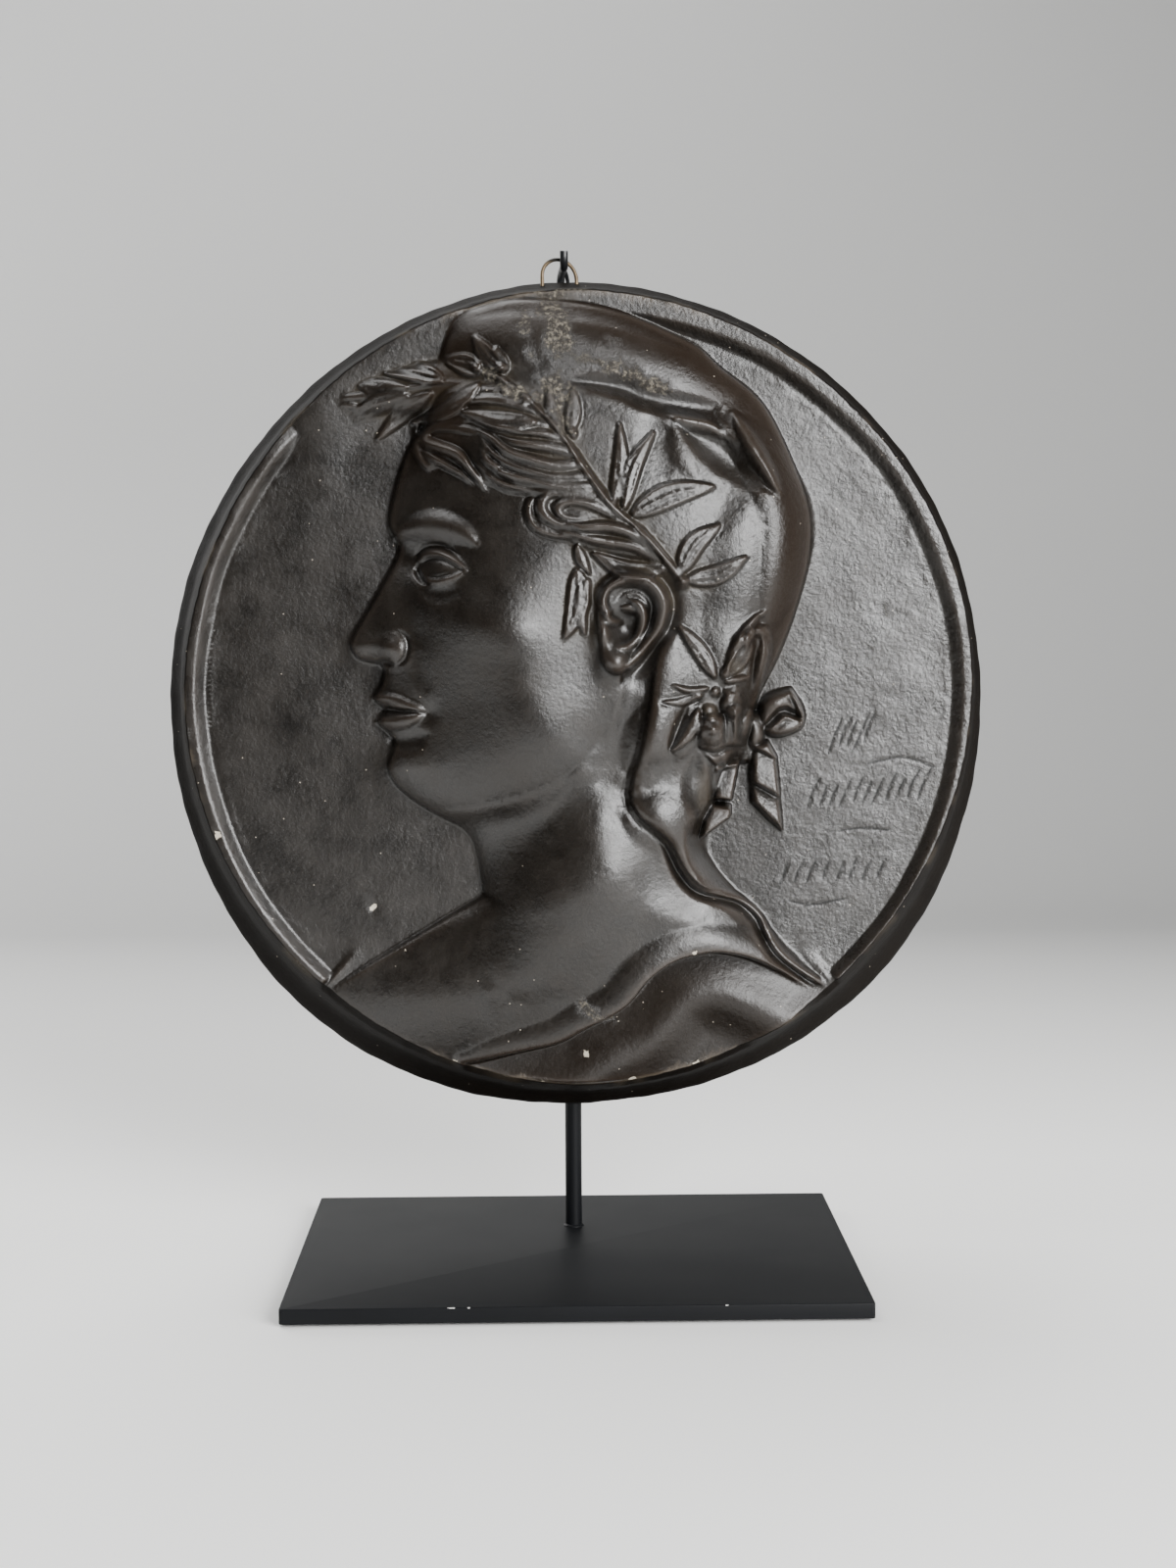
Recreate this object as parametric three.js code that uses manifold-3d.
// Round cast plaster relief plaque on a steel display stand, in millimetres, +Z up.
// The origin is on the table under the middle of the whole object; the relief looks towards -Y.

import * as THREE from 'three';
import { mergeVertices } from 'three/addons/utils/BufferGeometryUtils.js';
import Module from 'manifold-3d';

const { lerp, clamp, smoothstep, degToRad, radToDeg } = THREE.MathUtils;

// Stand
const plateWidth = 280;
const plateDepth = 200;
const plateThickness = 7.5;
const plateCorner = 1.5;
const plateEase = 0.5;
const feltThickness = 1.5;
const feltInset = 6;
const rodDiameter = 8.7;
const rodSetback = 39.5;
const rodTop = 487;
const hookBar = 4.2;
const hookBrace = 2;
const standOffset = -3;
const seat = 0.3;

// Plaque: a cast disc with a flat back, a flat rim, a cove inside it and a sunk field
const plaqueCentre = 293;
const frontRadius = 198.6;
const frontMiddle = [3.9, 0.1];
const backRadius = 212;
const backMiddle = [3, -5.9];
const coveMiddle = [4.2, -2.5];
const coveFoot = 187.6;
const coveTop = 194.35;
const fieldRadius = 184;
const fieldHeight = 30;
const rimHeight = 35;
const reliefHeight = 42;
const loopWire = 1.9;

const plateTop = feltThickness + plateThickness;
const plaqueBack = rodSetback - rodDiameter / 2 - 0.7;

// Head, by the usual canon: seven half-units from chin to crown
const headLength = 236;
const chin = -53;
const facePlane = -90;
const onFace = (forward, up) => [facePlane - forward * headLength, chin + up * headLength];

// Plane curves of the relief are given in plaque coordinates: u right, v up, from over the rod's axis

function spline(points, step = 4) {
  const curve = new THREE.SplineCurve(points.map(([u, v]) => new THREE.Vector2(u, v)));
  const count = Math.max(2, Math.round(curve.getLength() / step));
  return curve.getSpacedPoints(count).map((p) => [p.x, p.y]);
}

const onCircle = ([u, v], radius, angle) => [u + radius * Math.cos(angle), v + radius * Math.sin(angle)];

function arc(middle, radius, fromDegrees, toDegrees, step = 4) {
  const sweep = degToRad(toDegrees - fromDegrees);
  const count = Math.ceil(Math.abs(sweep) * radius / step);
  return Array.from({ length: count + 1 }, (_, i) => onCircle(middle, radius, degToRad(fromDegrees) + sweep * i / count));
}

// Distance from a point to a chain of points, and how far along the chain the nearest place is
function nearest(chain, u, v) {
  let best = Infinity;
  let along = 0;
  for (let i = 0; i + 1 < chain.length; i++) {
    const [au, av] = chain[i];
    const du = chain[i + 1][0] - au;
    const dv = chain[i + 1][1] - av;
    const t = clamp(((u - au) * du + (v - av) * dv) / (du * du + dv * dv + 1e-9), 0, 1);
    const distance = Math.hypot(u - au - t * du, v - av - t * dv);
    if (distance < best) {
      best = distance;
      along = (i + t) / (chain.length - 1);
    }
  }
  return { distance: best, along };
}

function inside(loop, u, v) {
  let odd = false;
  for (let i = 0, j = loop.length - 1; i < loop.length; j = i++) {
    const [iu, iv] = loop[i];
    const [ju, jv] = loop[j];
    if ((iv > v) !== (jv > v) && u < (ju - iu) * (v - iv) / (jv - iv) + iu) odd = !odd;
  }
  return odd;
}

// A shape with a loop outline: how deep a point lies inside it, or 0 outside
function region(loop) {
  const closed = [...loop, loop[0]];
  const us = loop.map((p) => p[0]);
  const vs = loop.map((p) => p[1]);
  const box = [Math.min(...us), Math.max(...us), Math.min(...vs), Math.max(...vs)];
  return (u, v) => {
    if (u < box[0] || u > box[1] || v < box[2] || v > box[3] || !inside(loop, u, v)) return 0;
    return nearest(closed, u, v).distance;
  };
}

// Quarter-round swell: 0 at the edge, full height once a point is `width` inside
function swell(depth, width, height) {
  const t = 1 - clamp(depth / width, 0, 1);
  return height * Math.sqrt(1 - t * t);
}

function bump(u, v, [cu, cv], radius, height) {
  const t = ((u - cu) ** 2 + (v - cv) ** 2) / (radius * radius);
  return t > 6 ? 0 : height * Math.exp(-t);
}

// A strand laid on the relief, thickest in the middle and thin at both ends
function strand(points, width, height) {
  const chain = spline(points, 5);
  const us = chain.map((p) => p[0]);
  const vs = chain.map((p) => p[1]);
  const box = [Math.min(...us), Math.max(...us), Math.min(...vs), Math.max(...vs)];
  return (u, v) => {
    if (u < box[0] - width || u > box[1] + width || v < box[2] - width || v > box[3] + width) return 0;
    const { distance, along } = nearest(chain, u, v);
    const taper = Math.sqrt(Math.sin(Math.PI * clamp(along, 0.04, 0.96)));
    return swell(width * taper - distance, width * taper, height * taper);
  };
}

// A laurel leaf with a midrib, from its foot to its tip
function leaf([footU, footV, tipU, tipV], width, height) {
  const length = Math.hypot(tipU - footU, tipV - footV);
  const [du, dv] = [(tipU - footU) / length, (tipV - footV) / length];
  return (u, v) => {
    const along = ((u - footU) * du + (v - footV) * dv) / length;
    if (along <= 0 || along >= 1) return 0;
    const across = Math.abs((v - footV) * du - (u - footU) * dv);
    const half = width / 2 * Math.sin(Math.PI * along ** 0.8);
    if (across >= half) return 0;
    const blade = swell(half - across, half * 0.5, height);
    return blade - 0.45 * height * smoothstep(half - across, 0, half) + bump(across, 0, [0, 0], 1.2, height * 0.4);
  };
}

// Outlines
const faceOutline = spline([
  [-72, 132],
  onFace(-0.042, 0.75),
  onFace(-0.012, 0.67),
  onFace(0.005, 0.585),
  onFace(-0.014, 0.53),
  onFace(0.03, 0.44),
  onFace(0.088, 0.345),
  onFace(0.088, 0.312),
  onFace(0.024, 0.284),
  onFace(0.028, 0.25),
  onFace(0.042, 0.215),
  onFace(0.02, 0.19),
  onFace(0.033, 0.163),
  onFace(0, 0.122),
  onFace(0.014, 0.06),
  onFace(-0.025, 0.002),
  [-68, -63],
], 3);
const neckFront = spline([[-68, -63], [-56, -72], [-51, -84], [-45.5, -102]]);
const bustLine = [[-45.5, -102], [-124.5, -149.5]];
const capOutline = spline([
  [95, 0], [105, 20], [113, 42], [119, 65], [120, 86], [114, 108], [97, 143], [75, 162], [59, 175],
  [18, 191.5], [-24, 196], [-47, 191.5], [-58, 185], [-62, 176], [-67, 160], [-72, 132],
]);
const napeEdge = spline([
  [131, -151], [118, -137.5], [107, -123.5], [96, -110], [86, -99], [75, -86], [69, -73], [76, -45], [88, -20], [95, 0],
]);
const shoulderCut = spline([
  [-57, -188], [-29, -181], [-9, -176], [4, -169], [24, -158], [37, -143], [50, -134], [66, -130],
  [78, -130.5], [91, -134], [105, -140.5], [119, -148], [131, -151],
]);
const lappetFront = spline([
  [46, 40], [40, 19], [36.5, -7], [32.5, -27], [28.5, -40], [27.5, -52], [31.5, -60.5], [39, -67], [47, -74],
  [55, -88.5], [63, -97], [75, -101.5], [86, -106], [95, -114], [99, -123], [106, -133.5], [119, -144], [131, -151],
]);

const rimArc = arc(frontMiddle, 200.3, -50, -131);
const figureLoop = [...neckFront.toReversed(), ...faceOutline.toReversed(), ...capOutline.toReversed(),
  ...napeEdge.toReversed(), ...rimArc, bustLine[1]];
const hollowRegion = region([...shoulderCut, ...arc(frontMiddle, 201, -50, -108)]);
const lappetRegion = region([...lappetFront, ...napeEdge.slice(1), [98, 20], [90, 45]]);

// Swollen height of the whole figure: a membrane fixed along the outline and pushed up evenly
function inflate(loop, reach, cells) {
  const size = cells + 1;
  const at = (i) => (i / cells * 2 - 1) * reach;
  const free = new Uint8Array(size * size);
  const rise = new Float64Array(size * size);
  for (let row = 1; row < cells; row++) {
    for (let column = 1; column < cells; column++) {
      if (inside(loop, at(column), at(row))) free[row * size + column] = 1;
    }
  }
  const overRelax = 1.94;
  for (let pass = 0; pass < 400; pass++) {
    for (let k = size; k < rise.length - size; k++) {
      if (!free[k]) continue;
      const level = (rise[k - 1] + rise[k + 1] + rise[k - size] + rise[k + size]) / 4 + 1;
      rise[k] += overRelax * (level - rise[k]);
    }
  }
  const top = rise.reduce((a, b) => Math.max(a, b), 0);
  return (u, v) => {
    const x = clamp((u / reach + 1) / 2 * cells, 0, cells - 1e-6);
    const y = clamp((v / reach + 1) / 2 * cells, 0, cells - 1e-6);
    const k = Math.floor(y) * size + Math.floor(x);
    const low = lerp(rise[k], rise[k + 1], x % 1);
    const high = lerp(rise[k + size], rise[k + size + 1], x % 1);
    return Math.max(0, lerp(low, high, y % 1)) / top;
  };
}
const membrane = inflate(figureLoop, 206, 160);

// Laurel wreath: foot and tip of each leaf, and its width
const headLeaves = [
  [[20, 93, 24.5, 131], 7], [[25, 89, 40, 127], 9], [[29, 87, 68.5, 99.5], 14], [[52, 60, 72, 81], 12],
  [[55, 56, 84, 68.5], 12], [[-4, 125, -9.5, 149], 7], [[-0.5, 127, 0, 148], 7], [[47, 60, 9.5, 68], 10],
  [[2.5, 61, -2.5, 27], 11], [[6, 52, 7.5, 28], 7], [[-35.5, 160, -46.5, 175], 7], [[-31, 158, -34, 172], 7],
  [[-16, 133, -54, 139], 11], [[68.5, 8.5, 49.5, 33], 8], [[71, 8.5, 92, 40], 11], [[62, 2.5, 41, -1.5], 6],
].map(([line, width]) => leaf(line, width, 4));
const frontLeaves = [
  [[-65, 155, -91, 161], 8], [[-44, 156, -64, 162], 9], [[-81, 151, -109, 156], 6], [[-91, 148, -119, 147], 6],
  [[-80, 148.5, -113, 132], 8], [[-65, 151, -97, 127], 7], [[-44, 152, -78, 136], 9],
].map(([line, width]) => leaf(line, width, 3.5));
const wreathBed = spline([[-30, 150], [-60, 152], [-90, 150], [-120, 144]]);
const twig = strand([[-60, 158], [-34, 153.5], [-3, 126], [14, 103], [33, 79], [53, 54]], 2.6, 3.2);
const berries = [[-46, 158.5], [-33.5, 153.5], [-20, 143], [-6, 126], [0, 126], [67.5, 3.5], [76.5, -3]];

const locks = [
  [[[-62, 139], [-76, 122], [-66, 108], [-45, 100]], 6], [[[-50, 137], [-60, 122], [-48, 110], [-40, 104]], 6],
  [[[-36, 135], [-47, 122], [-36, 105], [-12, 98]], 7], [[[-22, 130], [-28, 120], [-14, 112], [2, 104]], 6],
  [[[-12, 98], [-16, 88], [-4, 78], [6, 76]], 6], [[[4, 110], [-2, 96], [10, 84], [24, 82]], 6],
  [[[6, 92], [8, 80], [22, 72], [38, 68]], 6],
].map(([points, width]) => strand(points, width, 4.5));

const eyeLids = [
  strand([onFace(-0.045, 0.49), onFace(-0.06, 0.515), onFace(-0.105, 0.515), onFace(-0.145, 0.485)], 2.4, 2.4),
  strand([onFace(-0.05, 0.478), onFace(-0.075, 0.463), onFace(-0.115, 0.466), onFace(-0.145, 0.485)], 2, 1.6),
];
const lips = [
  strand([onFace(0.036, 0.212), onFace(0.0, 0.203), onFace(-0.055, 0.186)], 4, 2.6),
  strand([onFace(0.028, 0.165), onFace(-0.005, 0.168), onFace(-0.05, 0.182)], 4.4, 2.8),
];
const helix = strand([[20, 40], [18, 54], [30, 61], [42, 54], [43, 38], [34, 24], [24, 15]], 4, 5.5);
const antihelix = strand([[24, 50], [33, 46], [33, 34], [27, 26]], 3, 3);

// Cap tail and ribbon bow at the nape
const knot = ([u, v]) => swell(1 - Math.hypot((u - 77) / 17, (v + 19) / 13), 0.8, 1);
const bowLoop = region(spline([[88, -14], [96, -2], [112, 0], [117, -10], [114, -23], [98, -24], [88, -14]]));
const rightTail = region([[88, -24], [101, -28], [103, -44], [106, -58], [106.5, -72], [97, -62], [89, -54], [90, -38]]);
const middleTail = region([[72, -32], [84, -32], [80, -48], [78.5, -61], [64, -73], [66.5, -56], [70, -46]]);

const capFold = spline([[-2, 153], [24, 149.5], [36, 144.5], [47, 141.5], [63, 139.5], [74, 137], [77, 127]]);
const capRidge = strand([[78, 140], [84, 130], [89, 118], [95, 110], [103, 97]], 8, 4);
const capValley = strand([[58, 128], [73, 117], [94, 102], [103, 90]], 8, 4);

// Height of the front surface above the plaque's flat back
function relief(u, v) {
  const radius = Math.hypot(u - coveMiddle[0], v - coveMiddle[1]);
  const degrees = radToDeg(Math.atan2(v - coveMiddle[1], u - coveMiddle[0]));
  const hasCove = degrees < -131 || (degrees > -48 && degrees < 104) || degrees > 136;
  const cove = clamp((radius - coveFoot) / (coveTop - coveFoot), 0, 1) ** 1.6;
  const plainSlope = smoothstep(radius, 165, coveTop + 3);
  const ground = (rimHeight - fieldHeight) * (hasCove ? cove : plainSlope);

  const push = membrane(u, v);
  const power = lerp(0.95, 0.5, smoothstep(v, -140, -60));
  let height = push > 0 ? 2.5 + (reliefHeight - 2.5) * push ** power : 0;
  if (push > 0) {
    height += bump(u, v, onFace(-0.09, 0.5), 17, -6) + bump(u, v, onFace(-0.09, 0.485), 8, 3.5);
    height += bump(u, v, onFace(-0.06, 0.565), 12, 2.5) + bump(u, v, onFace(-0.19, 0.36), 22, 3);
    height += bump(u, v, onFace(-0.15, 0.22), 20, -2.5) + bump(u, v, onFace(-0.02, 0.315), 7, 4);
    height += bump(u, v, onFace(-0.055, 0.07), 14, 2) + bump(u, v, [-25, -75], 22, -4);
    for (const part of [...eyeLids, ...lips, ...locks]) height += part(u, v);
    const fold = nearest(capFold, u, v).distance;
    height -= 3 * Math.exp(-((fold / 3) ** 2));
    height += capRidge(u, v) - capValley(u, v);
    height += swell(lappetRegion(u, v), 5, 7 * smoothstep(v, -150, -80) + 1.5);
    height += bump(u, v, [29, 38], 13, -6) + helix(u, v) + antihelix(u, v) + bump(u, v, [22, 18], 7, 5);
  }
  const bed = nearest(wreathBed, u, v);
  const bedWidth = lerp(22, 5, bed.along);
  height = Math.max(height, swell(bedWidth - bed.distance, bedWidth, lerp(27, 4, bed.along)));
  height = Math.max(height, swell(bowLoop(u, v), 5, 15), swell(rightTail(u, v), 3, 9), ground);
  height = Math.max(height, swell(middleTail(u, v), 3, 14) + 6 * smoothstep(v, -75, -30) * Math.sign(middleTail(u, v)));
  height += 8 * knot([u, v]) + twig(u, v);
  for (const part of [...headLeaves, ...frontLeaves]) height += part(u, v);
  for (const place of berries) height += bump(u, v, place, 3.2, 3.5);

  const hollow = hollowRegion(u, v);
  if (hollow > 0) {
    const floor = lerp(-3, 4, smoothstep(radius, 165, 198));
    height = lerp(height, floor, smoothstep(hollow, 0, 3));
  }
  return fieldHeight + height;
}

// Outlines of the cast disc wander a little: waves as [count, size, crest in degrees]
function wavyRadius(radius, angle, waves) {
  return waves.reduce((sum, [count, size, crest]) => sum + size * Math.cos(count * (angle - degToRad(crest))), radius);
}
function frontEdge(angle) {
  return onCircle(frontMiddle, wavyRadius(frontRadius, angle, [[2, 1, 76], [4, 1.2, 6]]), angle);
}
function backEdge(angle) {
  const waves = [[2, 1.4, 82], [3, 1.2, -26], [4, 0.6, -40], [5, 0.7, 24]];
  return onCircle(backMiddle, wavyRadius(backRadius, angle, waves), angle);
}

// Field surface: a square sheet of right triangles wrapped onto the disc and split where the relief bends
const sheetCells = 128;
const edgeCells = 4;
const rimSegments = 108;
const sheetTolerance = 1.35;
function wrap(column, row) {
  const x = column / sheetCells * 2 - 1;
  const y = row / sheetCells * 2 - 1;
  return [
    coveMiddle[0] + fieldRadius * x * Math.sqrt(1 - y * y / 2),
    coveMiddle[1] + fieldRadius * y * Math.sqrt(1 - x * x / 2),
  ];
}
const sheetRow = sheetCells + 1;
const index = ([column, row]) => row * sheetRow + column;

// Heights over the sheet, softened once along each way as a cast's edges are
function sheetHeights() {
  const raw = Float32Array.from({ length: sheetRow ** 2 }, (_, k) => relief(...wrap(k % sheetRow, Math.floor(k / sheetRow))));
  const soften = (from, stride, place) => from.map((h, k) => {
    const at = place(k);
    return at === 0 || at === sheetCells ? h : (from[k - stride] + 6 * h + from[k + stride]) / 8;
  });
  const across = soften(raw, 1, (k) => k % sheetRow);
  return soften(across, sheetRow, (k) => Math.floor(k / sheetRow));
}

function splitSheet(heights, tolerance) {
  const size = sheetRow;
  const errors = new Float32Array(size * size);
  const onBorder = (k) => k < size || k >= size * (size - 1) || k % size === 0 || k % size === sheetCells;
  const middle = (a, b) => [(a[0] + b[0]) / 2, (a[1] + b[1]) / 2];
  const halves = ([a, b, c]) => [[c, a, middle(a, b)], [b, c, middle(a, b)]];

  const levels = [[[[0, 0], [sheetCells, sheetCells], [sheetCells, 0]], [[sheetCells, sheetCells], [0, 0], [0, sheetCells]]]];
  const depth = 2 * Math.log2(sheetCells) - 1;
  for (let level = 0; level < depth; level++) levels.push(levels[level].flatMap(halves));
  for (let level = depth; level >= 0; level--) {
    for (const [a, b, c] of levels[level]) {
      const k = index(middle(a, b));
      const bend = Math.abs((heights[index(a)] + heights[index(b)]) / 2 - heights[k]);
      const below = level < depth ? Math.max(errors[index(middle(a, c))], errors[index(middle(b, c))]) : 0;
      const span = Math.abs(a[0] - b[0]) + Math.abs(a[1] - b[1]);
      errors[k] = onBorder(k) && span > edgeCells ? Infinity : Math.max(errors[k], bend, below);
    }
  }
  const triangles = [];
  let pending = levels[0];
  for (let level = 0; pending.length; level++) {
    const next = [];
    for (const triangle of pending) {
      const splits = level <= depth && errors[index(middle(triangle[0], triangle[1]))] > tolerance;
      if (splits) next.push(...halves(triangle));
      else triangles.push(triangle);
    }
    pending = next;
  }
  return triangles;
}

function plaqueGeometry() {
  const positions = [];
  const faces = [];
  const place = (u, v, h) => positions.push(u, -h, v) / 3 - 1;

  const heights = sheetHeights();
  const known = new Map();
  const vertexAt = (node) => {
    const key = index(node);
    if (!known.has(key)) known.set(key, place(...wrap(...node), heights[key]));
    return known.get(key);
  };
  for (const [a, b, c] of splitSheet(heights, sheetTolerance)) faces.push([vertexAt(a), vertexAt(c), vertexAt(b)]);

  // Rings of vertices about the cove's middle, anticlockwise from -180 degrees
  const offsetOf = (k) => [positions[3 * k] - coveMiddle[0], positions[3 * k + 2] - coveMiddle[1]];
  const angleOf = (k) => Math.atan2(...offsetOf(k).toReversed());
  const border = [...known.values()].filter((k) => Math.hypot(...offsetOf(k)) > fieldRadius - 0.01);
  border.sort((a, b) => angleOf(a) - angleOf(b));
  const angles = Array.from({ length: rimSegments }, (_, i) => (2 * i / rimSegments - 1) * Math.PI);
  const ring = (point) => angles.map((angle) => place(...point(angle)));
  const onFront = (radius) => (angle) => {
    const [u, v] = onCircle(coveMiddle, radius, angle);
    return [u, v, relief(u, v)];
  };
  const beforeEdge = (share) => (angle) => {
    const [bu, bv] = onCircle(coveMiddle, coveTop, angle);
    const [fu, fv] = frontEdge(angle);
    const [u, v] = [lerp(bu, fu, share), lerp(bv, fv, share)];
    return [u, v, relief(u, v) - (share === 1 ? 0.8 : 0)];
  };
  const onWall = (share, level) => (angle) => {
    const [fu, fv] = frontEdge(angle);
    const [bu, bv] = backEdge(angle);
    return [lerp(fu, bu, share), lerp(fv, bv, share), level];
  };
  const rings = [
    ring(onFront(coveFoot)),
    ring(onFront(coveFoot + 2.6)),
    ring(onFront(coveFoot + 4.8)),
    ring(beforeEdge(0)),
    ring(beforeEdge(0.5)),
    ring(beforeEdge(1)),
    ring(onWall(0.45, 14)),
    ring(onWall(0.92, 4.5)),
    ring(onWall(1, 0)),
  ];
  for (let k = 0; k + 1 < rings.length; k++) {
    for (let i = 0; i < angles.length; i++) {
      const j = (i + 1) % angles.length;
      const [a, b, c, d] = [rings[k][i], rings[k][j], rings[k + 1][i], rings[k + 1][j]];
      faces.push([a, c, d], [a, d, b]);
    }
  }

  // The sheet's border and the innermost ring have their own vertices, so they are zipped together
  const inner = rings[0];
  const turn = (k, i, count) => angleOf(k) + (i >= count ? 2 * Math.PI : 0);
  for (let i = 0, j = 0; i < border.length || j < inner.length;) {
    const [a, b] = [border[i % border.length], inner[j % inner.length]];
    const [nextA, nextB] = [border[(i + 1) % border.length], inner[(j + 1) % inner.length]];
    const advanceBorder = j >= inner.length
      || (i < border.length && turn(nextA, i + 1, border.length) < turn(nextB, j + 1, inner.length));
    faces.push(advanceBorder ? [a, b, nextA] : [a, b, nextB]);
    if (advanceBorder) i++;
    else j++;
  }
  const centre = place(...backMiddle, 0);
  const last = rings.at(-1);
  last.forEach((a, i) => faces.push([a, centre, last[(i + 1) % last.length]]));

  const geometry = new THREE.BufferGeometry();
  geometry.setAttribute('position', new THREE.Float32BufferAttribute(positions, 3));
  geometry.setIndex(faces.flat());
  return geometry;
}

// Round bar bent along a curve
function bentBar(points, diameter, steps, sides = 12) {
  const radius = diameter / 2;
  const section = new THREE.Shape();
  section.absarc(0, 0, radius, 0, 2 * Math.PI, false);
  const path = new THREE.CatmullRomCurve3(points.map((p) => new THREE.Vector3(...p)), false, 'centripetal');
  const options = { steps, curveSegments: sides, bevelEnabled: false, extrudePath: path };
  return new THREE.ExtrudeGeometry(section, options);
}

// Booleans
const wasm = await Module();
wasm.setup();
function solid(geometry) {
  const bare = geometry.clone();
  bare.deleteAttribute('normal');
  bare.deleteAttribute('uv');
  const merged = mergeVertices(bare, 1e-4);
  const vertProperties = Float32Array.from(merged.attributes.position.array);
  const triVerts = Uint32Array.from(merged.index.array);
  return new wasm.Manifold(new wasm.Mesh({ numProp: 3, vertProperties, triVerts }));
}
function toGeometry(manifold) {
  const mesh = manifold.getMesh();
  const geometry = new THREE.BufferGeometry();
  geometry.setAttribute('position', new THREE.Float32BufferAttribute(mesh.vertProperties, 3));
  geometry.setIndex([...mesh.triVerts]);
  return geometry;
}

// The wire loop stands in the plaque's top edge, near its back, and hangs on the hook
const loopCentre = -5;
const loopHalfWidth = 8.8;
const loopY = plaqueBack - 6;
const loopFeet = [500.2, 500.8];
const loopShoulder = 502.5;
const loopTop = 512.4;
const loopLean = 1.2;
function loopGeometry() {
  const points = [];
  for (let i = 0; i <= 12; i++) {
    const angle = Math.PI * (1 - i / 12);
    const across = loopHalfWidth * Math.cos(angle) - loopLean * Math.sin(angle);
    points.push([loopCentre + across, loopY, lerp(loopShoulder, loopTop, Math.sin(angle) ** 0.9)]);
  }
  const [left, right] = loopFeet;
  const start = [loopCentre - loopHalfWidth, loopY, left];
  const end = [loopCentre + loopHalfWidth, loopY, right];
  return bentBar([start, ...points, end], loopWire, 30, 8);
}

// The hook is a bar with a thin brace, welded on the rod's top, that rises through the loop
const hookX = -2.7;
const hookTip = 516;
function hookGeometry() {
  const foot = rodTop + seat;
  const under = loopTop - loopWire / 2 - 1.1 - hookBar / 2;
  const bar = bentBar([
    [-0.9, rodSetback, foot - 2], [-4.4, rodSetback - 0.5, foot + 8], [-4.2, rodSetback - 3, under - 4],
    [-3.2, loopY + 3, under - 0.4], [hookX, loopY - 1.2, under + 0.3], [hookX, loopY - 4, under + 3.6],
    [hookX, loopY - 4.6, hookTip],
  ], hookBar, 22, 10);
  const brace = bentBar([
    [3.2, rodSetback, foot - 2], [0.2, rodSetback - 1, foot + 11], [-1.2, rodSetback - 4, under - 3],
    [-2.6, loopY + 3.2, under - 0.2],
  ], hookBrace, 10, 8);
  const below = new THREE.BoxGeometry(30, 30, 10).translate(0, rodSetback, foot - 5);
  return toGeometry(solid(bar).add(solid(brace)).subtract(solid(below)));
}

// A plate with rounded corners and eased edges, lying flat with its underside at z = 0
function slab(width, depth, thickness, corner, ease) {
  const [w, d] = [width / 2 - ease, depth / 2 - ease];
  const shape = new THREE.Shape();
  shape.moveTo(-w + corner, -d);
  shape.lineTo(w - corner, -d);
  shape.absarc(w - corner, -d + corner, corner, -Math.PI / 2, 0, false);
  shape.lineTo(w, d - corner);
  shape.absarc(w - corner, d - corner, corner, 0, Math.PI / 2, false);
  shape.lineTo(-w + corner, d);
  shape.absarc(-w + corner, d - corner, corner, Math.PI / 2, Math.PI, false);
  shape.lineTo(-w, -d + corner);
  shape.absarc(-w + corner, -d + corner, corner, Math.PI, 1.5 * Math.PI, false);
  const options = { depth: thickness - 2 * ease, bevelEnabled: ease > 0, bevelThickness: ease, bevelSize: ease,
    bevelSegments: 1, curveSegments: 4 };
  return new THREE.ExtrudeGeometry(shape, options).translate(0, 0, ease);
}

function finish(color, roughness, metalness) {
  return new THREE.MeshStandardMaterial({ color, roughness, metalness });
}
const patina = finish('#2c2723', 0.42, 0.1);
const blackPaint = finish('#1b1c1e', 0.5, 0);
const agedWire = finish('#6d5d48', 0.45, 1);
const darkFelt = finish('#15171a', 0.95, 0);

function part(name, geometry, material, x = 0, y = 0, z = 0) {
  const mesh = new THREE.Mesh(geometry, material);
  mesh.name = name;
  mesh.position.set(x, y, z);
  return mesh;
}

const rodLength = rodTop - plateTop - seat;
const rod = new THREE.CylinderGeometry(rodDiameter / 2, rodDiameter / 2, rodLength, 24);
rod.rotateX(Math.PI / 2);

const stand = new THREE.Group();
stand.position.x = standOffset;
stand.add(
  part('felt_sheet', slab(plateWidth - 2 * feltInset, plateDepth - 2 * feltInset, feltThickness, 3, 0), darkFelt),
  part('stand_plate', slab(plateWidth, plateDepth, plateThickness, plateCorner, plateEase), blackPaint, 0, 0, feltThickness),
  part('stand_rod', rod, blackPaint, 0, rodSetback, plateTop + seat + rodLength / 2),
  part('stand_hook', hookGeometry(), blackPaint),
);

const object = new THREE.Group();
object.add(
  stand,
  part('plaque', plaqueGeometry(), patina, standOffset, plaqueBack, plaqueCentre),
  part('hanging_loop', loopGeometry(), agedWire, standOffset),
);

export default object;
